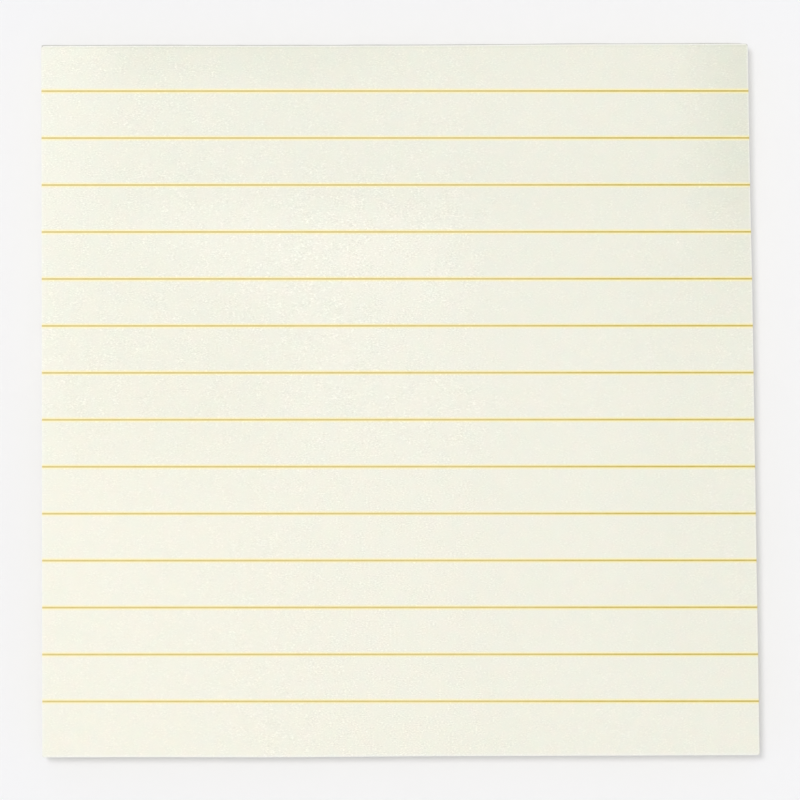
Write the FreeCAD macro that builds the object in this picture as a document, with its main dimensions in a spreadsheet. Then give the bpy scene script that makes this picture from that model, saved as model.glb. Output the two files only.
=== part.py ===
import FreeCAD, Part

import os
import re

import Sketcher

# A square pad of ruled sticky notes lying face up.
# Frame: +X to the right, +Y toward the glued head, +Z up, with the origin on the surface
# that the pad lies on, at the centre of its spans.

# Driving dimensions in millimetres, and the number of notes.
SIZES = {
    # Cut outline: the guillotine left the pad a little out of square. These are its full
    # spans, and how far each side or end strays from a true rectangle of them.
    "pad_width": 76.4,
    "pad_length": 76.0,
    "left_lean": 0.2,
    "right_lean": 1.2,
    "head_fall": 0.24,
    "foot_rise": 0.24,
    "corner_break": 0.15,
    # The block of notes. The knife eases each note's rim, which parts it from the next.
    "note_count": 80,
    "note_thickness": 0.1,
    "rim_break": 0.02,
    # Ruling on the top note: lines from side to side, as many as end clear of the foot.
    "line_width": 0.25,
    "line_pitch": 5.0,
    "line_thickness": 0.01,
    "head_margin": 5.05,
    "foot_margin": 5.0,
    # What holds the last note to its backing.
    "adhesive_width": 20.0,
    "adhesive_thickness": 0.04,
    "backing_thickness": 0.15,
}

doc = FreeCAD.newDocument("sticky_note_pad")
table = doc.addObject("Spreadsheet::Sheet", "sizes")
for row, (alias, number) in enumerate(SIZES.items(), start=1):
    table.set(f"A{row}", str(number))
    table.setAlias(f"A{row}", alias)
doc.recompute()

# Heights of the pieces, from the surface up.
ADHESIVE_BASE = "backing_thickness"
BLOCK_BASE = "backing_thickness + adhesive_thickness"
PRINT_BASE = "backing_thickness + adhesive_thickness + note_count * note_thickness"

# Corners of the cut outline, each as its side, x, end and y away from the origin.
OUTLINE = [
    ("left", "pad_width / 2", "head", "pad_length / 2 - head_fall"),
    ("right", "pad_width / 2 - right_lean", "head", "pad_length / 2"),
    ("right", "pad_width / 2", "foot", "pad_length / 2 - foot_rise"),
    ("left", "pad_width / 2 - left_lean", "foot", "pad_length / 2"),
]


def sized(expression):
    """Spell an expression so that each size in it is read from the spreadsheet."""
    for alias in SIZES:
        expression = re.sub(rf"\b{alias}\b", f"sizes.{alias}", expression)
    return expression


def number_of(expression):
    return float(table.evalExpression(sized(expression)))


def origin_feature(body, role):
    return next(item for item in body.Origin.OriginFeatures if item.Role == role)


def new_body(label, base="0"):
    """Start a sub-part whose ground plane lies at the height base."""
    body = doc.addObject("PartDesign::Body", label)
    body.setExpression("Placement.Base.z", sized(base))
    return body


def new_sketch(body, name):
    sketch = body.newObject("Sketcher::SketchObject", name)
    sketch.AttachmentSupport = (origin_feature(body, "XY_Plane"), [""])
    sketch.MapMode = "FlatFace"
    return sketch


def drive(sketch, name, kind, ends, expression):
    """Set the distance between two points of a sketch by an expression."""
    constraint = Sketcher.Constraint(kind, *ends[0], *ends[1], number_of(expression))
    index = sketch.addConstraint(constraint)
    sketch.renameConstraint(index, name)
    sketch.setExpression(f"Constraints.{name}", sized(expression))


def add_polygon(sketch, name, corners):
    """Draw a closed polygon with each corner driven from the sketch's origin."""
    first = sketch.GeometryCount
    points = []
    for side, x, end, y in corners:
        x_sign = 1 if side == "right" else -1
        y_sign = 1 if end == "head" else -1
        points.append(FreeCAD.Vector(x_sign * number_of(x), y_sign * number_of(y), 0))
    for start, stop in zip(points, points[1:] + points[:1]):
        sketch.addGeometry(Part.LineSegment(start, stop))
    for index in range(len(corners)):
        after = (index + 1) % len(corners)
        joint = Sketcher.Constraint("Coincident", first + index, 2, first + after, 1)
        sketch.addConstraint(joint)
    origin = (-1, 1)
    for index, (side, x, end, y) in enumerate(corners):
        corner = (first + index, 1)
        across = (origin, corner) if side == "right" else (corner, origin)
        along = (origin, corner) if end == "head" else (corner, origin)
        drive(sketch, f"{name}_x{index}", "DistanceX", across, x)
        drive(sketch, f"{name}_y{index}", "DistanceY", along, y)


def add_sheet_stock(body, thickness):
    """Pad the cut outline to a thickness and blunt its four corners."""
    sketch = new_sketch(body, f"{body.Label}_outline")
    add_polygon(sketch, "corner", OUTLINE)
    pad = body.newObject("PartDesign::Pad", f"{body.Label}_stock")
    pad.Profile = sketch
    pad.setExpression("Length", sized(thickness))
    doc.recompute()
    upright = [
        f"Edge{index}"
        for index, edge in enumerate(pad.Shape.Edges, start=1)
        if abs(edge.tangentAt(edge.FirstParameter).z) > 0.5
    ]
    corners = body.newObject("PartDesign::Chamfer", f"{body.Label}_corners")
    corners.Base = (pad, upright)
    corners.setExpression("Size", sized("corner_break"))
    doc.recompute()
    return corners


def level_faces(feature):
    """Name the faces of a feature that lie level."""
    return [
        f"Face{index}"
        for index, face in enumerate(feature.Shape.Faces, start=1)
        if abs(face.normalAt(0, 0).z) > 0.5
    ]


def make_note_block():
    """All the notes as one block: a note with an eased rim, repeated up the stack."""
    body = new_body("note_block", BLOCK_BASE)
    note = add_sheet_stock(body, "note_thickness")
    rim = body.newObject("PartDesign::Chamfer", "note_rim")
    rim.Base = (note, level_faces(note))
    rim.setExpression("Size", sized("rim_break"))
    doc.recompute()
    stack = body.newObject("PartDesign::LinearPattern", "note_stack")
    stack.TransformMode = "Whole shape"
    stack.Direction = (origin_feature(body, "Z_Axis"), [""])
    stack.Mode = "Spacing"
    stack.setExpression("Offset", sized("note_thickness"))
    stack.setExpression("Occurrences", sized("note_count"))
    body.Tip = stack
    return body


def add_pocket(body, name, sketch):
    """Cut a sketch away through everything that stands on the body's ground plane."""
    pocket = body.newObject("PartDesign::Pocket", name)
    pocket.Profile = sketch
    pocket.Type = "ThroughAll"
    pocket.Reversed = True
    doc.recompute()
    return pocket


def make_ruled_lines():
    """The ruling: lines printed past the trim, then cut off level with the top note."""
    body = new_body("ruled_lines", PRINT_BASE)
    untrimmed = "pad_width / 2 + line_pitch"
    upper_edge = "pad_length / 2 - head_margin + line_width / 2"
    lower_edge = "pad_length / 2 - head_margin - line_width / 2"
    line = new_sketch(body, "first_line")
    add_polygon(line, "corner", [
        ("left", untrimmed, "head", upper_edge),
        ("right", untrimmed, "head", upper_edge),
        ("right", untrimmed, "head", lower_edge),
        ("left", untrimmed, "head", lower_edge),
    ])
    ink = body.newObject("PartDesign::Pad", "first_line_ink")
    ink.Profile = line
    ink.setExpression("Length", sized("line_thickness"))
    doc.recompute()
    ruling = body.newObject("PartDesign::LinearPattern", "ruling")
    ruling.Originals = [ink]
    ruling.Direction = (origin_feature(body, "Y_Axis"), [""])
    ruling.Reversed = True
    ruling.Mode = "Spacing"
    ruling.setExpression("Offset", sized("line_pitch"))
    ruled_length = "(pad_length - head_margin - foot_margin)"
    ruling.setExpression("Occurrences", sized(f"floor({ruled_length} / line_pitch) + 1"))
    body.Tip = ruling
    doc.recompute()
    trim = new_sketch(body, "trim")
    past_lines = f"{untrimmed} + line_pitch"
    add_polygon(trim, "waste", [
        ("left", past_lines, "head", "pad_length"),
        ("right", past_lines, "head", "pad_length"),
        ("right", past_lines, "foot", "pad_length"),
        ("left", past_lines, "foot", "pad_length"),
    ])
    add_polygon(trim, "edge", [(side, f"{x} - rim_break", end, y) for side, x, end, y in OUTLINE])
    body.Tip = add_pocket(body, "trimmed", trim)
    return body


def make_adhesive_strip():
    """The strip under the head of the last note that holds the block to its backing."""
    body = new_body("adhesive_strip", ADHESIVE_BASE)
    add_sheet_stock(body, "adhesive_thickness")
    bare = new_sketch(body, "bare_paper")
    strip_end = ("head", "pad_length / 2 - adhesive_width")
    add_polygon(bare, "corner", [
        ("left", "pad_width", *strip_end),
        ("right", "pad_width", *strip_end),
        ("right", "pad_width", "foot", "pad_length"),
        ("left", "pad_width", "foot", "pad_length"),
    ])
    body.Tip = add_pocket(body, "strip", bare)
    return body


def make_backing_sheet():
    """The plain sheet at the bottom, cut with the block, which the pad lies on."""
    body = new_body("backing_sheet")
    add_sheet_stock(body, "backing_thickness")
    return body


def check(bodies):
    """Stop if an object failed or a sub-part isn't sound."""
    failed = [item.Name for item in doc.Objects if {"Invalid", "Error"} & set(item.State)]
    failed += [body.Label for body in bodies if body.Shape.isNull() or not body.Shape.isValid()]
    if failed:
        raise RuntimeError("failed: " + ", ".join(failed))


bodies = [make_note_block(), make_ruled_lines(), make_adhesive_strip(), make_backing_sheet()]
doc.recompute()
check(bodies)
os.makedirs("parts", exist_ok=True)
for body in bodies:
    body.Shape.exportStep(f"parts/{body.Label}.step")
    shape = body.Shape
    print(body.Label, len(shape.Solids), "solids", round(shape.Volume, 3), "mm3")
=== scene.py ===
"""A ruled sticky note pad: eighty notes glued at the head on a backing sheet of release paper.

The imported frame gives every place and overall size. The sections follow the pad as it is put
together: backing sheet, glue, notes, top note, printed rules, and then the table it lies on.
"""

import math
import random

import bpy
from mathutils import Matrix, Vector, noise


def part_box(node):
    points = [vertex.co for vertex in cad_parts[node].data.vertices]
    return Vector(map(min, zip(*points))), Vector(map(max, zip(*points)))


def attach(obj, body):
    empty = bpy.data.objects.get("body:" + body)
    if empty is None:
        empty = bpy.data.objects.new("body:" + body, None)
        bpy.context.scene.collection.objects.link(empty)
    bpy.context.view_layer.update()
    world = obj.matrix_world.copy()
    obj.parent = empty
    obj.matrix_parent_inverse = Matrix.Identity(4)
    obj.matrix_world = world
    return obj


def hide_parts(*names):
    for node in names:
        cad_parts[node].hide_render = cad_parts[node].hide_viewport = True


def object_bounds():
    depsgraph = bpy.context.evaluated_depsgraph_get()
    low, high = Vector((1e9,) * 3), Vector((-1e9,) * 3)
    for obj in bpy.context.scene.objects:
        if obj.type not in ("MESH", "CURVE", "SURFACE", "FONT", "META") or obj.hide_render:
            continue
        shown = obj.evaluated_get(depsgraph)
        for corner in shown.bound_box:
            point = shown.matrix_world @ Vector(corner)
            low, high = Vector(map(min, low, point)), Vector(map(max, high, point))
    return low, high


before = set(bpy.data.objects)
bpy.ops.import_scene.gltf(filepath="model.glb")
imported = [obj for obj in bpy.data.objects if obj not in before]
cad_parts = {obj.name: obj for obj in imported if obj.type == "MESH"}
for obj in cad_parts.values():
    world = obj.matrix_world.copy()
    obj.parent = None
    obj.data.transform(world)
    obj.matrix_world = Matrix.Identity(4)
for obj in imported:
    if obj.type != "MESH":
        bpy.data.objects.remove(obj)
cad_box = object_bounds()
bpy.context.scene.view_settings.view_transform = "Standard"


# ---- Backing sheet -------------------------------------------------------------------------
# One sheet of silicone-coated release paper under the pad, which keeps the lowest glue clean.
# It was guillotined together with the notes, so it has their outline, slightly out of square.
MM = 0.001
LEFT_OUT = 0.02 * MM
LEFT_LEAN = 0.1 * MM
RIGHT_LEAN = 1.2 * MM
RIGHT_OUT = 0.07 * MM
RIGHT_OUT_BEGINS = 12 * MM
RIGHT_OUT_WHOLE = 28 * MM
HEAD_FALL = 0.24 * MM
FOOT_RISE = 0.24 * MM
BLADE_BOW = 0.085 * MM
LEAST_BOW = 0.2
BOW_BEGINS = (0.1, 0.36)
HEAD_BOW_ENDS = (0.56, 0.76)
FOOT_BOW_ENDS = (0.28, 0.6)
SHEET_CORNER = 0.22 * MM
SHEET_EDGE_STEPS = [0, 0.06 * MM, 0.13 * MM, 0.2 * MM, 0.9 * MM]
SHEET_STEP = 1.15 * MM
CREASE_ANGLE = math.radians(30)

pad_low, pad_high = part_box("note_block")
backing_low, backing_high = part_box("backing_sheet")
pad_width = pad_high.x - pad_low.x
pad_length = pad_high.y - pad_low.y


def linear(hex_colour):
    """Turns an sRGB hex colour into the linear one that Blender's sockets take."""
    shares = [int(hex_colour[i : i + 2], 16) / 255 for i in (1, 3, 5)]
    return [s / 12.92 if s <= 0.04045 else ((s + 0.055) / 1.055) ** 2.4 for s in shares] + [1.0]


def add_node(tree, kind, values=None, links=None, **settings):
    """Adds a shader node, gives it its settings and socket values, and links its inputs."""
    node = tree.nodes.new("ShaderNode" + kind)
    for name, value in settings.items():
        setattr(node, name, value)
    for socket, value in (values or {}).items():
        node.inputs[socket].default_value = value
    for socket, output in (links or {}).items():
        tree.links.new(output, node.inputs[socket])
    return node


def new_material(name, **finish):
    """A material of one glossy-over-matt surface with the given constant socket values."""
    material = bpy.data.materials.new(name)
    material.use_nodes = True
    surface = material.node_tree.nodes["Principled BSDF"]
    for socket, value in finish.items():
        surface.inputs[socket.replace("_", " ")].default_value = value
    return material, material.node_tree, surface


def steps_across(length, by_edge, step):
    """Distances from one end of a side to the other, close by both ends and then a step apart."""
    inner = length - 2 * by_edge[-1]
    count = math.ceil(inner / step)
    middle = [by_edge[-1] + inner * i / count for i in range(1, count)]
    return by_edge + middle + [length - distance for distance in reversed(by_edge)]


def smooth(value, start, end):
    """Goes smoothly from 0 at start to 1 at end, whichever of the two is greater."""
    share = min(max((value - start) / (end - start), 0.0), 1.0)
    return share * share * (3 - 2 * share)


def left_side(y):
    """Where the leaning left side is at a height y up the sheet."""
    return pad_low.x - LEFT_OUT + LEFT_LEAN * (pad_high.y - y) / pad_length


def right_side(y):
    """Where the leaning right side is at a height y, a little further out below the glue."""
    bow = RIGHT_OUT * smooth(pad_high.y - y, RIGHT_OUT_BEGINS, RIGHT_OUT_WHOLE)
    return pad_high.x + bow - RIGHT_LEAN * (y - pad_low.y) / pad_length


def head_line(share):
    """The straight line of the head, at a share of the way across from left to right."""
    return pad_high.y - HEAD_FALL * (1 - share)


def foot_line(share):
    """The straight line of the foot, at a share of the way across from left to right."""
    return pad_low.y + FOOT_RISE * share


def blade_bow(share, ends):
    """How far the blade strayed towards the foot in one cut, most left of the middle."""
    strayed = smooth(share, *BOW_BEGINS) * (1 - smooth(share, *ends))
    return BLADE_BOW * (LEAST_BOW + (1 - LEAST_BOW) * strayed)


def head_side(share):
    """Where the head is at a share of the way across, from left to right."""
    return head_line(share) - blade_bow(share, HEAD_BOW_ENDS)


def foot_side(share):
    """Where the foot is at a share of the way across, from left to right."""
    return foot_line(share) - blade_bow(share, FOOT_BOW_ENDS)


def sheet_place(share, y, corner):
    """The place on a sheet at a share of the way across and a height, with its corners rounded."""
    left, right = left_side(y), right_side(y)
    head, foot = head_side(share), foot_side(share)
    x = left + share * (right - left)
    over, up = min(x - left, right - x), min(y - foot, head - y)
    a, b = corner - over, corner - up
    if a > 0 and b > 0:
        shrink = max(a, b) / math.hypot(a, b)
        over, up = corner - a * shrink, corner - b * shrink
    x = left + over if share < 0.5 else right - over
    y = foot + up if y < (foot + head) / 2 else head - up
    return x, y


def plain_grid():
    """Rows of places over a sheet, foot to head, on the sheet's own leaning outline."""
    shares = [d / pad_width for d in steps_across(pad_width, SHEET_EDGE_STEPS, SHEET_STEP)]
    rises = [d / pad_length for d in steps_across(pad_length, SHEET_EDGE_STEPS, SHEET_STEP)]
    grid = []
    for rise in rises:
        heights = [foot_side(s) + rise * (head_side(s) - foot_side(s)) for s in shares]
        grid.append([sheet_place(s, y, SHEET_CORNER) for s, y in zip(shares, heights)])
    return grid


def rim_of(grid):
    """Each outer place's row and column, anticlockwise from the foot's left corner."""
    last_row, last_column = len(grid) - 1, len(grid[0]) - 1
    foot = [(0, column) for column in range(last_column)]
    right = [(row, last_column) for row in range(last_row)]
    head = [(last_row, column) for column in range(last_column, 0, -1)]
    left = [(row, 0) for row in range(last_row, 0, -1)]
    return foot + right + head + left


def make_sheet_mesh(name, grid, bottom, top, rings=()):
    """A closed mesh of a bottom and a top over the grid, with any rings between their rims."""
    rows, columns = len(grid), len(grid[0])
    rim = rim_of(grid)
    points = [bottom(x, y) for row in grid for x, y in row]
    loops = [[row * columns + column for row, column in rim]]
    for ring in rings:
        loops.append(list(range(len(points), len(points) + len(rim))))
        points += ring
    start = len(points)
    points += [top(x, y) for row in grid for x, y in row]
    loops.append([start + row * columns + column for row, column in rim])
    faces = []
    for row in range(rows - 1):
        for column in range(columns - 1):
            a = row * columns + column
            quad = (a, a + 1, a + columns + 1, a + columns)
            faces.append(quad[::-1])
            faces.append(tuple(start + corner for corner in quad))
    for lower, upper in zip(loops, loops[1:]):
        for i in range(len(rim)):
            following = (i + 1) % len(rim)
            faces.append((lower[i], lower[following], upper[following], upper[i]))
    mesh = bpy.data.meshes.new(name)
    mesh.from_pydata(points, [], faces)
    mesh.shade_smooth()
    mesh.set_sharp_from_angle(angle=CREASE_ANGLE)
    return mesh


def add_piece(mesh, material, slot, *nodes):
    """Puts a finished mesh on the pad with its material, for the nodes it stands for; slot is not
    used.
    """
    piece = bpy.data.objects.new(mesh.name, mesh)
    bpy.context.scene.collection.objects.link(piece)
    mesh.materials.append(material)
    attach(piece, "root")
    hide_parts(*nodes)
    return piece


# Release paper: bleached base paper with a thin cured silicone coat. The coat fills the tooth,
# so the sheet is whiter and smoother than the notes, with a low even sheen and faint clouds.
RELEASE_PAPER = "#EDEEE8"
RELEASE_SHADE = "#E7E8E1"
RELEASE_CLOUDS = 3 * MM

release_paper, tree, surface = new_material(
    "release paper", Roughness=0.42, IOR=1.43, Coat_Weight=0.2, Coat_Roughness=0.35
)
spot = add_node(tree, "TexCoord").outputs["Object"]
clouds = add_node(
    tree, "TexNoise", {"Scale": 1 / RELEASE_CLOUDS, "Detail": 3.0}, {"Vector": spot}
)
tint = add_node(
    tree, "Mix", {6: linear(RELEASE_SHADE), 7: linear(RELEASE_PAPER)},
    {0: clouds.outputs["Fac"]}, data_type="RGBA",
)
tree.links.new(tint.outputs[2], surface.inputs["Base Color"])

backing_grid = plain_grid()
backing_mesh = make_sheet_mesh(
    "backing_release_sheet",
    backing_grid,
    lambda x, y: Vector((x, y, backing_low.z)),
    lambda x, y: Vector((x, y, backing_high.z)),
)
add_piece(backing_mesh, release_paper, "backing_paper", "backing_sheet")


# ---- Glue strip ----------------------------------------------------------------------------
# A band of repositionable acrylic adhesive across the head, which holds the lowest note to the
# backing sheet. It is rolled on as a thin film of tiny spheres, so that it lets go again.

# Acrylic adhesive: the spheres scatter light, so the film is milky and half matt, never glassy.
# They are drawn at 0.12 mm, about three times as coarse as they are, so that they show.
GLUE_BEAD = 0.12 * MM
BEAD_HEIGHT = 0.01 * MM
MILKY_GLUE = "#E9E6D6"
THIN_GLUE = "#D9D6C4"

acrylic_glue, tree, surface = new_material("acrylic adhesive", Roughness=0.5, IOR=1.47)
spot = add_node(tree, "TexCoord").outputs["Object"]
beads = add_node(tree, "TexVoronoi", {"Scale": 1 / GLUE_BEAD}, {"Vector": spot})
milky = add_node(
    tree, "Mix", {6: linear(MILKY_GLUE), 7: linear(THIN_GLUE)},
    {0: beads.outputs["Distance"]}, data_type="RGBA",
)
beading = add_node(
    tree, "Bump", {"Strength": 0.6, "Distance": BEAD_HEIGHT}, {"Height": beads.outputs["Distance"]}
)
tree.links.new(milky.outputs[2], surface.inputs["Base Color"])
tree.links.new(beading.outputs["Normal"], surface.inputs["Normal"])
for material_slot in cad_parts["adhesive_strip"].material_slots:
    material_slot.material = acrylic_glue


# ---- Pad of notes --------------------------------------------------------------------------
# The notes under the top one, of uncoated offset paper, each glued along its head to the next.
# They were cut as a block, then handled: small groups have slipped, and the free foot has opened.
NOTE_COUNT = 80
CLUSTER_SIZES = (3, 8)
CLUSTER_SLIP = 0.055 * MM
NOTE_SLIP = 0.012 * MM
CLUSTER_TURN = 0.0007
EDGE_WANDER = 0.008 * MM
EDGE_WANDER_SIZE = 3 * MM
SETTLED_DEPTH = 1.0 * MM
HEAD_LEDGE = 0.1 * MM
LEDGE_UNEVENNESS = 0.2
LEDGE_WANDER_SIZE = 4 * MM
LEDGE_NOTES = 2
LEDGE_RUNS_OUT = (0.4 * MM, 1.2 * MM)
FACING_HEAD = 0.7
RIM_BREAK = 0.022 * MM
GLUED_GROOVE = 0.012 * MM
FREE_GROOVE = 0.04 * MM
FREE_FROM = 50 * MM
CLUSTER_GROOVE = 0.09 * MM
CLUSTER_GLUED_SHARE = 0.35
CLUSTER_FREE_FROM = 60 * MM
GROOVE_UNEVENNESS = 0.5
GROOVE_WANDER_SIZE = 9 * MM
COCKLE = 0.02 * MM
COCKLE_SIZE = 22 * MM
LAYER_WAVE = 0.05 * MM
LAYER_WAVE_SIZE = 21 * MM
LAYER_WAVE_HEIGHT = 2.2 * MM
UNDER_TOP_NOTE = 0.002 * MM

# A patch of relief or of tone is an amount with its fades. A fade names a direction, then the
# millimetres along it where the patch is still nothing, and those where it is whole.
RELIEF = (
    # the notes spring up past the end of the glue
    (
        0.17 * MM,
        ("past_glue", -2.5, 3),
        ("past_glue", 26, 6),
        ("across", -20, 8),
        ("across", 38, 14),
    ),
    # the right corner of the head dips
    (-0.1 * MM, ("across", 19, 37), ("down", 26, 6)),
    # the right side curls down, less towards the foot
    (-0.1 * MM, ("across", 27, 39)),
    (0.07 * MM, ("across", 27, 39), ("down", 50, 66)),
)

note_thickness = (pad_high.z - pad_low.z) / NOTE_COUNT
pad_height = pad_high.z - pad_low.z
glue_low, glue_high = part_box("adhesive_strip")
glue_depth = glue_high.y - glue_low.y
rules_low, rules_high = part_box("ruled_lines")


def wander(x, y, depth, size):
    """Smooth unevenness between about -1 and 1 over the given size, its own at each depth."""
    return 2 * noise.noise(Vector((x / size, y / size, depth)))


def patches_at(x, y, patches):
    """What patches add up to at a place, found from the pad's middle, its head and its sides."""
    from_head = pad_high.y - y
    directions = {
        "across": x,
        "down": from_head,
        "past_glue": from_head - glue_depth,
        "from_left": x - left_side(y),
        "from_right": right_side(y) - x,
    }
    total = 0.0
    for amount, *fades in patches:
        for direction, nothing_at, whole_at in fades:
            amount *= smooth(directions[direction], nothing_at * MM, whole_at * MM)
        total += amount
    return total


def layer_height(x, y, z):
    """The height of a layer at a place: the top's relief, dying away down the pad, and waves."""
    share = (z - pad_low.z) / pad_height
    relief = patches_at(x, y, RELIEF) + COCKLE * wander(x, y, 0.5, COCKLE_SIZE)
    waves = math.sin(math.pi * share) * wander(x, y, z / LAYER_WAVE_HEIGHT, LAYER_WAVE_SIZE)
    return z + share * relief + LAYER_WAVE * waves


def outward_directions(rim_places):
    """The direction straight out of the sheet's side at each place along its rim."""
    directions = []
    for i, place in enumerate(rim_places):
        following = rim_places[(i + 1) % len(rim_places)]
        along = Vector(following) - Vector(rim_places[i - 1])
        directions.append(Vector((along.y, -along.x)).normalized())
    return directions


# Groups of notes that slipped together, lowest first, and then each note with its own slip.
draw = random.Random(12)
clusters = []
while sum(size for size, *_ in clusters) < NOTE_COUNT - 1:
    slips = [draw.uniform(-CLUSTER_SLIP, CLUSTER_SLIP) for _ in range(2)]
    size = draw.randint(*CLUSTER_SIZES)
    clusters.append((size, *slips, draw.uniform(-CLUSTER_TURN, CLUSTER_TURN)))

notes = []
for size, slip_x, slip_y, turn in clusters:
    for place_in_cluster in range(size):
        settled = smooth((NOTE_COUNT - 1 - len(notes)) * note_thickness, 0, SETTLED_DEPTH)
        own_x, own_y = (draw.uniform(-NOTE_SLIP, NOTE_SLIP) for _ in range(2))
        notes.append(
            {
                "slip": Vector(((slip_x + own_x) * settled, (slip_y + own_y) * settled)),
                "turn": turn * settled,
                "opens": place_in_cluster == 0,
                "tone": draw.uniform(0, 1),
            }
        )
notes = notes[: NOTE_COUNT - 1]

stack_grid = plain_grid()
stack_rim = [stack_grid[row][column] for row, column in rim_of(stack_grid)]
stack_outward = outward_directions(stack_rim)


def note_edge(index, i):
    """Where the side of one note is at one place of the rim, after its slips."""
    note, out = notes[index], stack_outward[i]
    x, y = stack_rim[i]
    place = Vector((x, y)) + note["slip"] + note["turn"] * Vector((-y, x))
    place += out * EDGE_WANDER * wander(x, y, index * 0.7, EDGE_WANDER_SIZE)
    # the notes just under the top one stand out a hair at the head, but not by its right corner
    if index >= len(notes) - LEDGE_NOTES and out.y > FACING_HEAD:
        ledge = HEAD_LEDGE * (1 + LEDGE_UNEVENNESS * wander(x, y, 3.3, LEDGE_WANDER_SIZE))
        place += out * ledge * smooth(right_side(y) - x, *LEDGE_RUNS_OUT)
    return place


def groove_depth(index, x, y):
    """How deep the line under a note is at a place: tight in the glue, and open at the foot."""
    from_head = pad_high.y - y
    free = smooth(from_head, glue_depth, FREE_FROM)
    depth = GLUED_GROOVE + (FREE_GROOVE - GLUED_GROOVE) * free
    if notes[index]["opens"]:
        free = smooth(from_head, glue_depth, CLUSTER_FREE_FROM)
        depth += CLUSTER_GROOVE * (CLUSTER_GLUED_SHARE + (1 - CLUSTER_GLUED_SHARE) * free)
    return depth * (1 + GROOVE_UNEVENNESS * wander(x, y, index * 1.3, GROOVE_WANDER_SIZE))


# Three rings a note: the bottom of its groove, and the lower and the upper break of its cut side.
stack_rings = []
ring_notes = []
for index in range(len(notes)):
    base = pad_low.z + index * note_thickness
    for rise, in_groove in ((0.0, True), (RIM_BREAK, False), (note_thickness - RIM_BREAK, False)):
        ring = []
        for i, (x, y) in enumerate(stack_rim):
            place = note_edge(index, i)
            if in_groove:
                place -= stack_outward[i] * groove_depth(index, x, y)
            ring.append(Vector((place.x, place.y, layer_height(x, y, base + rise))))
        stack_rings.append(ring)
        ring_notes.append(index)

stack_top = pad_low.z + len(notes) * note_thickness
stack_mesh = make_sheet_mesh(
    "note_stack",
    stack_grid,
    lambda x, y: Vector((x, y, pad_low.z)),
    lambda x, y: Vector((x, y, layer_height(x, y, stack_top) - UNDER_TOP_NOTE)),
    stack_rings,
)

tones = stack_mesh.attributes.new("note_tone", "FLOAT", "POINT")
for ring_index, note_index in enumerate(ring_notes):
    first = len(stack_grid) * len(stack_grid[0]) + ring_index * len(stack_rim)
    for i in range(len(stack_rim)):
        tones.data[first + i].value = notes[note_index]["tone"]

# Uncoated offset paper, seen at its cut edges: soft matt fibres, cream, in fine level lines.
# A guillotine leaves faint upright scores, a mottled grey of painted shade lies along the head,
# most just under the top note, and the printed rules run off the sides, so their ends stack up
# there as faint yellow stripes. A note is 0.1 mm thick, and the level lines are drawn at 0.16 mm,
# so that they show.
EDGE_PAPER = "#F6F4EA"
EDGE_SHADE = "#E9E6DA"
# The grey mixed in at the head is painted shade, the thin line of shade along the pad's head.
PAINTED_HEAD_SHADE = "#CBCBC6"
RULE_END = "#E8CF72"
SCORE_WIDTH = 0.35 * MM
SCORE_LENGTH = 9 * MM
SCORE_DEPTH = 0.01 * MM
SCORE_SHARE = 0.35
LEVEL_LINE = 0.16 * MM
LEVEL_LENGTH = 7 * MM
NOTE_TONE_SHARE = 0.6
DARKEST_EDGE = 0.5
PALEST_EDGE = 1.45
HEAD_SHADE_MOTTLE = 1.6 * MM
HEAD_SHADE_SHARES = (0.7, 1.0)
HEAD_SHADE_ENDS = (0.4 * MM, 0.1 * MM)
HEAD_SHADE_TOP = (0.6 * MM, 0.2 * MM)
HEAD_SHADE_BELOW_TOP = 0.15
RULE_END_SHARE = 0.4
RULE_END_FADES = (0.3 * MM, 0.08 * MM)
RULE_PITCH_COUNT = 13
RULE_WIDTH = 0.25 * MM
PRINT_RISE = 0.03 * MM

rule_pitch = (rules_high.y - rules_low.y - RULE_WIDTH) / RULE_PITCH_COUNT
first_rule = rules_high.y - RULE_WIDTH / 2
last_rule = rules_low.y + RULE_WIDTH / 2


def from_nearest_rule(tree, spot):
    """The distance from the nearest printed rule, in metres, worked out in the material."""
    axes = add_node(tree, "SeparateXYZ", {}, {"Vector": spot})
    level = add_node(
        tree, "Math", {1: -PRINT_RISE / pad_width}, {0: axes.outputs["X"], 2: axes.outputs["Y"]},
        operation="MULTIPLY_ADD",
    )
    kept = add_node(
        tree, "Clamp", {"Min": last_rule - rule_pitch / 2, "Max": first_rule + rule_pitch / 2},
        {"Value": level.outputs[0]},
    )
    below = add_node(
        tree, "Math", {0: first_rule}, {1: kept.outputs[0]}, operation="SUBTRACT"
    )
    return add_node(
        tree, "Math", {1: rule_pitch / 2}, {0: below.outputs[0]}, operation="PINGPONG"
    ).outputs[0]


cut_paper, tree, surface = new_material(
    "uncoated offset paper, cut edges", Roughness=0.92, IOR=1.5
)
spot = add_node(tree, "TexCoord").outputs["Object"]
tone = add_node(tree, "Attribute", attribute_name="note_tone").outputs["Fac"]
upright = add_node(
    tree, "Mapping", {"Scale": (1 / SCORE_WIDTH, 1 / SCORE_WIDTH, 1 / SCORE_LENGTH)},
    {"Vector": spot},
)
scores = add_node(tree, "TexNoise", {"Scale": 1.0, "Detail": 2.0}, {"Vector": upright.outputs[0]})
level_lines = add_node(
    tree, "Mapping", {"Scale": (1 / LEVEL_LENGTH, 1 / LEVEL_LENGTH, 1 / LEVEL_LINE)},
    {"Vector": spot},
)
layers = add_node(
    tree, "TexNoise", {"Scale": 1.0, "Detail": 3.0}, {"Vector": level_lines.outputs[0]}
)
unevenness = add_node(
    tree, "Math", {1: SCORE_SHARE}, {0: scores.outputs["Fac"], 2: layers.outputs["Fac"]},
    operation="MULTIPLY_ADD",
)
mixed = add_node(
    tree, "Math", {1: NOTE_TONE_SHARE}, {0: tone, 2: unevenness.outputs[0]},
    operation="MULTIPLY_ADD",
)
shade = add_node(
    tree, "MapRange", {"From Min": DARKEST_EDGE, "From Max": PALEST_EDGE},
    {"Value": mixed.outputs[0]},
)
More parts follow.
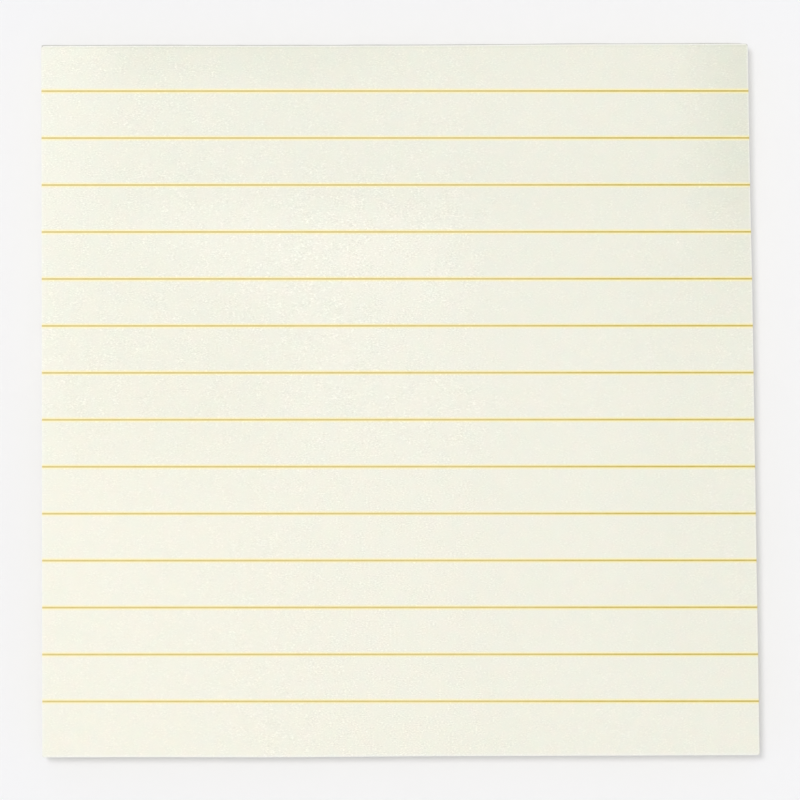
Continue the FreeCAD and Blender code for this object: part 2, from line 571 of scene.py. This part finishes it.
edge_colour = add_node(
    tree, "Mix", {6: linear(EDGE_SHADE), 7: linear(EDGE_PAPER)}, {0: shade.outputs[0]},
    data_type="RGBA",
)
axes = add_node(tree, "SeparateXYZ", {}, {"Vector": spot})
# Painted shade along the head wall: a mottled grey, most on the ledge just under the top note.
lowest_head = pad_high.y - HEAD_FALL
at_head = add_node(
    tree, "MapRange",
    {"From Min": lowest_head - HEAD_SHADE_ENDS[0], "From Max": lowest_head - HEAD_SHADE_ENDS[1]},
    {"Value": axes.outputs["Y"]},
)
head_mottle = add_node(tree, "TexNoise", {"Scale": 1 / HEAD_SHADE_MOTTLE, "Detail": 3.0}, {"Vector": spot})
head_shade_amount = add_node(
    tree, "MapRange",
    {"From Min": 0.3, "From Max": 0.6, "To Min": HEAD_SHADE_SHARES[0], "To Max": HEAD_SHADE_SHARES[1]},
    {"Value": head_mottle.outputs["Fac"]},
)
near_top = add_node(
    tree, "MapRange",
    {
        "From Min": pad_high.z - HEAD_SHADE_TOP[0],
        "From Max": pad_high.z - HEAD_SHADE_TOP[1],
        "To Min": HEAD_SHADE_BELOW_TOP,
    },
    {"Value": axes.outputs["Z"]},
)
head_shaded = add_node(
    tree, "Math", {}, {0: at_head.outputs[0], 1: head_shade_amount.outputs[0]}, operation="MULTIPLY"
)
head_shaded_top = add_node(
    tree, "Math", {}, {0: head_shaded.outputs[0], 1: near_top.outputs[0]}, operation="MULTIPLY"
)
with_head_shade = add_node(
    tree, "Mix", {7: linear(PAINTED_HEAD_SHADE)}, {0: head_shaded_top.outputs[0], 6: edge_colour.outputs[2]},
    data_type="RGBA",
)
rule_end = add_node(
    tree, "MapRange",
    {
        "From Min": RULE_END_FADES[0],
        "From Max": RULE_END_FADES[1],
        "To Max": RULE_END_SHARE,
    },
    {"Value": from_nearest_rule(tree, spot)},
)
broken = add_node(
    tree, "Math", {}, {0: rule_end.outputs[0], 1: shade.outputs[0]}, operation="MULTIPLY"
)
with_ends = add_node(
    tree, "Mix", {7: linear(RULE_END)}, {0: broken.outputs[0], 6: with_head_shade.outputs[2]},
    data_type="RGBA",
)
scoring = add_node(
    tree, "Bump", {"Strength": 0.3, "Distance": SCORE_DEPTH}, {"Height": scores.outputs["Fac"]}
)
tree.links.new(with_ends.outputs[2], surface.inputs["Base Color"])
tree.links.new(scoring.outputs["Normal"], surface.inputs["Normal"])

add_piece(stack_mesh, cut_paper, "note_paper", "note_block")


# ---- Top note ------------------------------------------------------------------------------
# The note that is written on next, the same paper as the rest. Its colour is a little darker
# over the glue under its head and toned at the left, painted shade and painted highlights lie
# across it, and the guillotine has whitened a hair of fibres all round.
NOTE_CORNER = 0.34 * MM
NOTE_EDGE_STEPS = [d * MM for d in (0, 0.04, 0.09, 0.15, 0.2, 0.25, 0.4, 0.7, 1.2, 2.0)]
NOTE_STEP = 1.0 * MM
ROLL_WIDTH = 0.15 * MM
ROLL_DROP = 0.01 * MM


def rule_rows():
    """Each rule's two edges, foot to head: height at the left and right, and no bow."""
    rows = []
    for number in range(RULE_PITCH_COUNT, -1, -1):
        middle = first_rule - number * rule_pitch
        for edge in (-RULE_WIDTH / 2, RULE_WIDTH / 2):
            rows.append((middle + edge - PRINT_RISE / 2, middle + edge + PRINT_RISE / 2, 0.0, 0.0))
    return rows


def note_rows():
    """Rows of the top note, foot to head: height at the left and right, and share of each bow."""
    by_foot = [(foot_line(0) + d, foot_line(1) + d, 0.0, 1.0) for d in NOTE_EDGE_STEPS]
    by_head = [(head_line(0) - d, head_line(1) - d, 1.0, 0.0) for d in reversed(NOTE_EDGE_STEPS)]
    marks = [by_foot[-1]] + rule_rows() + [by_head[0]]
    rows = by_foot[:-1]
    for mark, following in zip(marks, marks[1:]):
        count = max(1, round((following[0] - mark[0]) / NOTE_STEP))
        for i in range(count):
            rows.append(tuple(a + (b - a) * i / count for a, b in zip(mark, following)))
    return rows + by_head


def edge_distance(x, y):
    """The distance from the nearest side of the sheet."""
    share = (x - left_side(y)) / (right_side(y) - left_side(y))
    return min(x - left_side(y), right_side(y) - x, y - foot_side(share), head_side(share) - y)


def note_top(x, y):
    """A place on the top note's upper face, which rolls down a little at its cut edge."""
    roll = max(0.0, 1 - edge_distance(x, y) / ROLL_WIDTH)
    height = layer_height(x, y, pad_high.z) - ROLL_DROP * roll * roll
    return Vector((x, y, height))


def note_bottom(x, y):
    """A place on the top note's lower face."""
    return Vector((x, y, layer_height(x, y, stack_top)))


note_shares = [d / pad_width for d in steps_across(pad_width, NOTE_EDGE_STEPS, NOTE_STEP)]
note_grid = []
for left, right, like_head, like_foot in note_rows():
    note_grid.append([])
    for s in note_shares:
        bow = like_head * blade_bow(s, HEAD_BOW_ENDS) + like_foot * blade_bow(s, FOOT_BOW_ENDS)
        note_grid[-1].append(sheet_place(s, left + (right - left) * s - bow, NOTE_CORNER))
note_mesh = make_sheet_mesh("top_note", note_grid, note_bottom, note_top)


# The crest is where the pad springs up, just below the end of the glue. A painted highlight makes
# the paper palest along it, on a slant, and by the head at the right. A soft spot is its middle,
# across from the middle of the pad and down from the head, and then how far it reaches across and
# down.
CREST = ((-4 * MM, 23 * MM), (9 * MM, 7 * MM))
CREST_HIGHLIGHT = ((-6 * MM, 21 * MM), (8 * MM, 6 * MM))
CREST_SLANT = 1.1
HEAD_HIGHLIGHT = ((17 * MM, 10 * MM), (9 * MM, 6 * MM))
HEAD_HIGHLIGHT_SHARE = 0.65

# Where the paper is darkened, in patches with roughly the share of light lost: over the glue,
# and elsewhere as painted shade. EVEN_GREY is lost all over but in the pale spots of painted
# highlight. The blade has bruised a line along the head.
EVEN_GREY = 0.013
BRUISE = 0.036
BRUISE_BEGINS = (0.05 * MM, 0.15 * MM)
BRUISE_ENDS = (0.2 * MM, 0.45 * MM)
GREY_WAVER = 0.8 * MM
GREY_WAVER_SIZE = 7 * MM
GLUE_AND_SHADE_PATCHES = (
    # over the glue, half as much right of the middle
    (0.026, ("past_glue", 0, -5), ("from_left", 0, 10)),
    (-0.013, ("past_glue", 0, -5), ("from_left", 0, 10), ("across", -6, 12)),
    # painted shade over the right half, most along the head and past the middle of the glue
    (0.008, ("across", 2, 9)),
    (0.008, ("across", 2, 9), ("down", 6, 2)),
    (0.01, ("across", 2, 9), ("down", 2, 14), ("down", 36, 22)),
    # painted shade over the left half of the head
    (0.031, ("down", 5.8, 0.8), ("from_left", 4, 12), ("across", 14, -17)),
    # painted shade at the right corner of the head, and down the right side
    (0.062, ("from_right", 9, 0), ("down", 31, 9)),
    (0.012, ("across", 20, 30), ("down", 16, 24), ("down", 74, 60)),
)

# Where the paper is toned warmer and a little greyer: at the left, below the glue.
LEFT_TONING_GREY = 0.018
LEFT_TONING = ((1.0, ("down", 15, 24), ("down", 52, 38), ("from_left", -2, 5)),)
LEFT_TONING_REACH = -24 * MM
LEFT_TONING_WIDENS = 13 * MM
LEFT_TONING_WIDENS_OVER = (20 * MM, 30 * MM)
LEFT_TONING_FADES = (3 * MM, -7 * MM)

# Where the warmer tone of the paper shows: more and more below the glue, and least at the right.
WARMED = ((1.0, ("down", 22, 60)), (-0.85, ("down", 22, 60), ("across", -8, 34)))
WARM_CREST = 0.35
WARM_LEFT_TONING = 0.4

# The nap is how far the fibres stand up, and it sets how strongly their specks show in the colour.
# Its map is painted raking light: raised left of the middle, and a little at the right side, in
# its upper half.
RESTING_NAP = 0.6
RAKING_FADES = 5 * MM
RAKING_ENDS = 13 * MM
RAKING_WIDENS = 5 * MM
RAKING_WIDENS_OVER = (50 * MM, 70 * MM)
RAKED_TOOTH = (
    # raised everywhere left of the middle
    (0.7,),
    # flatter at the low left, and over the glue
    (-0.7, ("down", 32, 52), ("across", -6, -24)),
    (-0.5, ("down", 19, 9), ("across", -26, -12)),
    # raised again along the foot
    (0.3, ("down", 69, 74), ("across", -24, -14)),
)
# painted glare: more specks show along the crest
CREST_GLARE_NAP = 0.7
RIGHT_NAP = ((0.25, ("across", 24, 32), ("down", 50, 30)),)

# How white the cut has left each side, and how far in from it the white fibres reach.
FRAY_LEFT = (0.45, 0.34 * MM)
FRAY_HEAD = (1.0, 0.17 * MM)
FRAY_RIGHT = (0.8, 0.2 * MM)
FRAY_FOOT = (0.8, 0.34 * MM)

# The rules took more ink towards the right.
HEAVY_INKING = ((1.0, ("across", 6, 28)),)


def soft_spot(x, y, middle, reach, slant=0.0):
    """How near a place is to the middle of a soft spot, which may slant right on its way down."""
    down = pad_high.y - y - middle[1]
    across = x - middle[0] - slant * down
    return math.exp(-((across / reach[0]) ** 2) - (down / reach[1]) ** 2)


def left_toning(x, y):
    """How much the paper is toned warmer and greyer at a place, at the left below the glue."""
    widening = smooth(pad_high.y - y, *LEFT_TONING_WIDENS_OVER)
    reach = LEFT_TONING_REACH + LEFT_TONING_WIDENS * widening
    return patches_at(x, y, LEFT_TONING) * smooth(x - reach, *LEFT_TONING_FADES)


def glue_and_painted_shade(x, y):
    """Roughly the light the colour loses at a place: glue, painted shade, toning at the left."""
    # the patches are placed from the cut head, and their edges waver a little
    wavering = y + pad_high.y - head_side(0.5) - GREY_WAVER * wander(x, 0, 7.7, GREY_WAVER_SIZE)
    share = (x - left_side(y)) / (right_side(y) - left_side(y))
    from_cut = head_side(share) - y
    bruised = smooth(from_cut, *BRUISE_BEGINS) * (1 - smooth(from_cut, *BRUISE_ENDS))
    # painted highlight: the crest and the right of the head keep less of the even grey
    pale = soft_spot(x, y, *CREST_HIGHLIGHT, CREST_SLANT)
    pale += HEAD_HIGHLIGHT_SHARE * soft_spot(x, y, *HEAD_HIGHLIGHT)
    left_toned = LEFT_TONING_GREY * left_toning(x, y)
    return patches_at(x, wavering, GLUE_AND_SHADE_PATCHES) + BRUISE * bruised + EVEN_GREY * (1 - pale) + left_toned


def warmth(x, y):
    """How much of the warmer tone shows: towards the foot, toned at the left, and on the crest."""
    left_toned = WARM_LEFT_TONING * left_toning(x, y)
    return min(1.0, patches_at(x, y, WARMED) + WARM_CREST * soft_spot(x, y, *CREST) + left_toned)


def fray(x, y):
    """How much the cut has loosened and whitened the fibres: most at the very edge."""
    share = (x - left_side(y)) / (right_side(y) - left_side(y))
    sides = (
        (FRAY_LEFT, x - left_side(y)),
        (FRAY_RIGHT, right_side(y) - x),
        (FRAY_FOOT, y - foot_side(share)),
        (FRAY_HEAD, head_side(share) - y),
    )
    return max(amount * (1 - smooth(distance, 0, reach)) for (amount, reach), distance in sides)


def nap_and_raking_light(x, y):
    """How far the fibres stand up, with painted raking light: most left of the middle."""
    raking_end = RAKING_ENDS + RAKING_WIDENS * smooth(pad_high.y - y, *RAKING_WIDENS_OVER)
    raked = patches_at(x, y, RAKED_TOOTH) + CREST_GLARE_NAP * soft_spot(x, y, *CREST)
    raked *= 1 - smooth(x, RAKING_FADES, raking_end)
    return RESTING_NAP + raked + patches_at(x, y, RIGHT_NAP)


def heavy_inking(x, y):
    """How much more ink the rules took: none at the left, and all of it well to the right."""
    return patches_at(x, y, HEAVY_INKING)


for amount_at in (glue_and_painted_shade, warmth, fray, nap_and_raking_light, heavy_inking):
    amounts = note_mesh.attributes.new(amount_at.__name__, "FLOAT", "POINT")
    for i, vertex in enumerate(note_mesh.vertices):
        amounts.data[i].value = amount_at(vertex.co.x, vertex.co.y)

# Uncoated offset paper: long bleached fibres pressed flat with no coat, so it scatters light
# evenly and has no gloss. Its formation is faintly cloudy over a millimetre or two, and bunches
# of fibres differ faintly in hue. Its tooth stands up in clumps, and is longest across the note,
# as the fibres run. It is drawn at 0.16 mm, about twice as coarse as it is, so that it shows.
# The tone for the glue and the painted shade is some 30% darker than PAPER, so it shows about
# four times as much as the shade amount.
PAPER = "#F7F6E9"
WARM_PAPER = "#F8F6E8"
# The darker tone mixed in over the glue and as painted shade.
GLUE_AND_SHADE_PAPER = "#D3D7C4"
SHADE_MIX_FACTOR = 4.0
CUT_FIBRES = "#F9F9F3"
TOOTH = 0.16 * MM
TOOTH_HEIGHT = 0.01 * MM
FIBRE_RUN = (0.7, 1.3, 1.0)
RAISED_TOOTH = (0.54, 0.74)
SUNK_TOOTH = (0.48, 0.2)
SUNK_SHARE = 0.55
CLUMP = 1.1 * MM
BETWEEN_CLUMPS = 0.4
IN_CLUMPS = 1.5
SPECK_CONTRAST = 0.116
FORMATION = 1.6 * MM
DARKEST_CLOUD = 0.996
PALEST_CLOUD = 1.011
FIBRE_BUNCH = 1.5 * MM
COOL_FIBRES = (0.982, 0.991, 0.99)
WARM_FIBRES = (1.018, 1.009, 1.01)
INK_BLEED = "#FFF6CC"
HEAVY_BLEED = "#FEF5C2"
BLEED_ENDS = 0.4 * MM
BLEED_WHOLE = 0.12 * MM

paper, tree, surface = new_material("uncoated offset paper", Roughness=0.9, IOR=1.5)
spot = add_node(tree, "TexCoord").outputs["Object"]
grain_place = add_node(tree, "Mapping", {"Scale": FIBRE_RUN}, {"Vector": spot})
tooth = add_node(
    tree, "TexNoise", {"Scale": 1 / TOOTH, "Detail": 1.5, "Roughness": 0.6},
    {"Vector": grain_place.outputs[0]},
)
formation = add_node(tree, "TexNoise", {"Scale": 1 / FORMATION, "Detail": 3.0}, {"Vector": spot})
warm_share = add_node(tree, "Attribute", attribute_name="warmth").outputs["Fac"]
glue_and_shade_share = add_node(tree, "Attribute", attribute_name="glue_and_painted_shade").outputs["Fac"]
fray_share = add_node(tree, "Attribute", attribute_name="fray").outputs["Fac"]
warmed = add_node(
    tree, "Mix", {6: linear(PAPER), 7: linear(WARM_PAPER)}, {0: warm_share}, data_type="RGBA"
)
# The darker tone goes in over the glue and as painted shade, and less where painted highlight is.
glue_and_shade_amount = add_node(
    tree, "Math", {1: SHADE_MIX_FACTOR}, {0: glue_and_shade_share}, operation="MULTIPLY"
)
glued = add_node(
    tree, "Mix", {7: linear(GLUE_AND_SHADE_PAPER)}, {0: glue_and_shade_amount.outputs[0], 6: warmed.outputs[2]},
    data_type="RGBA",
)
cut = add_node(
    tree, "Mix", {7: linear(CUT_FIBRES)}, {0: fray_share, 6: glued.outputs[2]}, data_type="RGBA"
)
rule_distance = from_nearest_rule(tree, spot)
bleed = add_node(
    tree, "MapRange", {"From Min": BLEED_ENDS, "From Max": BLEED_WHOLE},
    {"Value": rule_distance}, interpolation_type="SMOOTHSTEP",
)
heavy_share = add_node(tree, "Attribute", attribute_name="heavy_inking").outputs["Fac"]
bleed_colour = add_node(
    tree, "Mix", {6: linear(INK_BLEED), 7: linear(HEAVY_BLEED)}, {0: heavy_share}, data_type="RGBA"
)
inked = add_node(
    tree, "Mix", {}, {0: bleed.outputs[0], 6: cut.outputs[2], 7: bleed_colour.outputs[2]},
    data_type="RGBA",
)
clumps = add_node(tree, "TexNoise", {"Scale": 1 / CLUMP, "Detail": 1.0}, {"Vector": spot})
in_clumps = add_node(
    tree, "MapRange",
    {"From Min": 0.36, "From Max": 0.64, "To Min": BETWEEN_CLUMPS, "To Max": IN_CLUMPS},
    {"Value": clumps.outputs["Fac"]},
)
# The strength of the specks carries painted raking light and glare.
nap_and_raking_share = add_node(tree, "Attribute", attribute_name="nap_and_raking_light").outputs["Fac"]
roughness_share = add_node(
    tree, "Math", {}, {0: in_clumps.outputs[0], 1: nap_and_raking_share}, operation="MULTIPLY"
)
raised = add_node(
    tree, "MapRange", {"From Min": RAISED_TOOTH[0], "From Max": RAISED_TOOTH[1]},
    {"Value": tooth.outputs["Fac"]},
)
sunk = add_node(
    tree, "MapRange",
    {"From Min": SUNK_TOOTH[0], "From Max": SUNK_TOOTH[1], "To Max": SUNK_SHARE},
    {"Value": tooth.outputs["Fac"]},
)
standing = add_node(
    tree, "Math", {}, {0: raised.outputs[0], 1: sunk.outputs[0]}, operation="SUBTRACT"
)
specks = add_node(
    tree, "Math", {}, {0: standing.outputs[0], 1: roughness_share.outputs[0]},
    operation="MULTIPLY",
)
grain = add_node(
    tree, "Math", {1: SPECK_CONTRAST, 2: 1.0}, {0: specks.outputs[0]}, operation="MULTIPLY_ADD"
)
clouding = add_node(
    tree, "MapRange",
    {"From Min": 0.25, "From Max": 0.75, "To Min": DARKEST_CLOUD, "To Max": PALEST_CLOUD},
    {"Value": formation.outputs["Fac"]},
)
both = add_node(
    tree, "Math", {}, {0: grain.outputs[0], 1: clouding.outputs[0]}, operation="MULTIPLY"
)
coloured = add_node(
    tree, "VectorMath", {}, {0: inked.outputs[2], "Scale": both.outputs[0]}, operation="SCALE"
)
fibre_hues = add_node(
    tree, "TexNoise", {"Scale": 1 / FIBRE_BUNCH, "Detail": 2.0, "Roughness": 0.6},
    {"Vector": spot},
)
tinting = add_node(
    tree, "MapRange",
    {7: (0.3, 0.3, 0.3), 8: (0.7, 0.7, 0.7), 9: COOL_FIBRES, 10: WARM_FIBRES},
    {6: fibre_hues.outputs["Color"]}, data_type="FLOAT_VECTOR",
)
tinted = add_node(
    tree, "VectorMath", {}, {0: coloured.outputs[0], 1: tinting.outputs[1]}, operation="MULTIPLY"
)
toothed = add_node(
    tree, "Bump", {"Strength": 0.8, "Distance": TOOTH_HEIGHT}, {"Height": specks.outputs[0]}
)
tree.links.new(tinted.outputs[0], surface.inputs["Base Color"])
tree.links.new(toothed.outputs["Normal"], surface.inputs["Normal"])

top_note = add_piece(note_mesh, paper, "note_paper", "note_block")


# ---- Printed rules -------------------------------------------------------------------------
# Fourteen golden rules, printed from side to side by offset before the notes were cut. The ink
# is a film a few microns thick that follows the paper, with soft edges where it wets the fibres.
INK_LIFT = 0.006 * MM
INK_SINK = 0.02 * MM


def make_rules_mesh():
    """A thin closed strip for each rule, on the very rows and columns of the top note's mesh."""
    points, faces = [], []
    rows = note_rows()
    for lower_edge, upper_edge in zip(rule_rows()[::2], rule_rows()[1::2]):
        lower_row, upper_row = note_grid[rows.index(lower_edge)], note_grid[rows.index(upper_edge)]
        start = len(points)
        for below, above in zip(lower_row, upper_row):
            lower, upper = note_top(*below), note_top(*above)
            points += [place - Vector((0, 0, INK_SINK)) for place in (lower, upper)]
            points += [place + Vector((0, 0, INK_LIFT)) for place in (upper, lower)]
        for i in range(len(lower_row) - 1):
            a, b = start + 4 * i, start + 4 * i + 4
            for side in range(4):
                following = (side + 1) % 4
                faces.append((a + side, a + following, b + following, b + side))
        end = start + 4 * (len(lower_row) - 1)
        faces.append((start + 3, start + 2, start + 1, start))
        faces.append((end, end + 1, end + 2, end + 3))
    mesh = bpy.data.meshes.new("printed_rules")
    mesh.from_pydata(points, [], faces)
    inking = mesh.attributes.new("heavy_inking", "FLOAT", "POINT")
    for i, point in enumerate(points):
        inking.data[i].value = heavy_inking(point.x, point.y)
    return mesh


# Offset printing ink: a matt oil film, dried into the paper, golden yellow. It is densest along
# the middle of the rule, thins towards its edges, and is slightly mottled where it missed fibres.
INK = "#D9C680"
HEAVY_INK = "#CCB75C"
INK_EDGE = "#FCF0C0"
INK_THINS = 0.065 * MM
INK_ENDS = 0.115 * MM
INK_MOTTLE = 0.7 * MM
LEAST_INK = 0.85

ink, tree, surface = new_material("printing ink", Roughness=0.8, IOR=1.48)
spot = add_node(tree, "TexCoord").outputs["Object"]
mottle = add_node(tree, "TexNoise", {"Scale": 1 / INK_MOTTLE, "Detail": 3.0}, {"Vector": spot})
density = add_node(
    tree, "MapRange", {"From Min": INK_ENDS, "From Max": INK_THINS},
    {"Value": from_nearest_rule(tree, spot)}, interpolation_type="SMOOTHSTEP",
)
patchy = add_node(
    tree, "MapRange", {"From Min": 0.3, "From Max": 0.7, "To Min": LEAST_INK, "To Max": 1.0},
    {"Value": mottle.outputs["Fac"]},
)
amount = add_node(
    tree, "Math", {}, {0: density.outputs[0], 1: patchy.outputs[0]}, operation="MULTIPLY"
)
heavy_share = add_node(tree, "Attribute", attribute_name="heavy_inking").outputs["Fac"]
full_ink = add_node(
    tree, "Mix", {6: linear(INK), 7: linear(HEAVY_INK)}, {0: heavy_share}, data_type="RGBA"
)
ink_colour = add_node(
    tree, "Mix", {6: linear(INK_EDGE)}, {0: amount.outputs[0], 7: full_ink.outputs[2]},
    data_type="RGBA",
)
tree.links.new(ink_colour.outputs[2], surface.inputs["Base Color"])

printed_rules = add_piece(make_rules_mesh(), ink, "line_ink", "ruled_lines")


# ---- Table, lamps and camera ---------------------------------------------------------------
# A plain pale table top of matt laminate, with no pattern. The pad's pale sides pass on about as
# much light as they take away, so it shows one even tone, with a soft shadow right and below.
TABLE = "#F6F6F8"
TABLE_HALF = 3.0
TABLE_DROP = 0.01 * MM


def seen_directly(tree):
    """1 for what the camera, a gloss or a clear piece sees, and 0 for light that is passed on."""
    path = add_node(tree, "LightPath")
    glossy = add_node(
        tree, "Math", {}, {0: path.outputs["Is Camera Ray"], 1: path.outputs["Is Glossy Ray"]},
        operation="MAXIMUM",
    )
    return add_node(
        tree, "Math", {}, {0: glossy.outputs[0], 1: path.outputs["Is Transmission Ray"]},
        operation="MAXIMUM",
    ).outputs[0]


table_top, _, _ = new_material(
    "matt table top", Roughness=1.0, Specular_IOR_Level=0.0, Base_Color=linear(TABLE)
)
table_mesh = bpy.data.meshes.new("table")
corners = ((-1, -1), (1, -1), (1, 1), (-1, 1))
table_z = cad_box[0].z - TABLE_DROP
places = [(x * TABLE_HALF, y * TABLE_HALF, table_z) for x, y in corners]
table_mesh.from_pydata(places, [], [(0, 1, 2, 3)])
table_mesh.materials.append(table_top)
table = bpy.data.objects.new("table", table_mesh)
bpy.context.scene.collection.objects.link(table)

# Plain soft light: a pale room all round, a high soft key from the upper left, and a low soft box
# at the left whose light fades over the paper. A light from straight above makes up its share on
# the table. The shares are of the light on level paper, and add up to about one.
ROOM_SHARE = 0.66
KEY_SHARE = 0.266
KEY_TILT = math.radians(4.2)
KEY_SPREAD = math.radians(5.6)
LEVEL_SPREAD = math.radians(1)
SIDE_SHARE = 0.051
SIDE_PLACE = Vector((-0.2, 0.025, 0.085))
SIDE_SIZE = 0.04
CAMERA_LENS = 800.0
CAMERA_SENSOR = 36.0
FRAME_WIDTH = 85.2 * MM
CAMERA_ASIDE = Vector((-0.03 * MM, 0.045 * MM, 0))

# The room lights the pad by its share, and where it is seen it is as pale as the table top.
world = bpy.data.worlds.new("pale room")
bpy.context.scene.world = world
world.use_nodes = True
tree = world.node_tree
strength = add_node(
    tree, "Mix", {"A": ROOM_SHARE, "B": linear(TABLE)[0]}, {"Factor": seen_directly(tree)}
)
tree.links.new(strength.outputs[0], tree.nodes["Background"].inputs["Strength"])
tree.nodes["Background"].inputs["Color"].default_value = (1, 1, 1, 1)


def add_sun(name, share, slope, spread):
    """A sun that gives level paper the given share of its light, shining down along a slope."""
    lamp = bpy.data.lights.new(name, "SUN")
    direction = Vector((slope, -slope, -1)).normalized()
    lamp.energy = share * math.pi / -direction.z
    lamp.angle = spread
    sun = bpy.data.objects.new(name, lamp)
    sun.rotation_euler = direction.to_track_quat("-Z", "Y").to_euler()
    bpy.context.scene.collection.objects.link(sun)
    return sun


def light_only(lamp, *pieces):
    """Lets a lamp light only the given pieces."""
    lit = bpy.data.collections.new("lit_by_" + lamp.name)
    for piece in pieces:
        lit.objects.link(piece)
    lamp.light_linking.receiver_collection = lit


add_sun("key_light", KEY_SHARE, math.tan(KEY_TILT), KEY_SPREAD)
level_light = add_sun("level_light", 1 - ROOM_SHARE - KEY_SHARE, 0.0, LEVEL_SPREAD)
light_only(level_light, table)

# A small box gives a level place its energy times the rise, over pi squared and distance cubed.
side_lamp = bpy.data.lights.new("side_box", "AREA")
side_lamp.shape = "SQUARE"
side_lamp.size = SIDE_SIZE
side_rise = SIDE_PLACE.z - pad_high.z
side_distance = math.hypot(SIDE_PLACE.x, SIDE_PLACE.y, side_rise)
side_lamp.energy = SIDE_SHARE * math.pi * math.pi * side_distance**3 / side_rise
side_light = bpy.data.objects.new("side_box", side_lamp)
side_light.location = SIDE_PLACE
aim = Vector((0, 0, pad_high.z)) - SIDE_PLACE
side_light.rotation_euler = aim.to_track_quat("-Z", "Y").to_euler()
bpy.context.scene.collection.objects.link(side_light)
light_only(side_light, top_note, printed_rules)

camera_data = bpy.data.cameras.new("camera")
camera_data.lens = CAMERA_LENS
camera_data.sensor_width = CAMERA_SENSOR
camera = bpy.data.objects.new("camera", camera_data)
camera_rise = pad_high.z + FRAME_WIDTH * CAMERA_LENS / CAMERA_SENSOR
camera.location = CAMERA_ASIDE + Vector((0, 0, camera_rise))
bpy.context.scene.collection.objects.link(camera)
bpy.context.scene.camera = camera
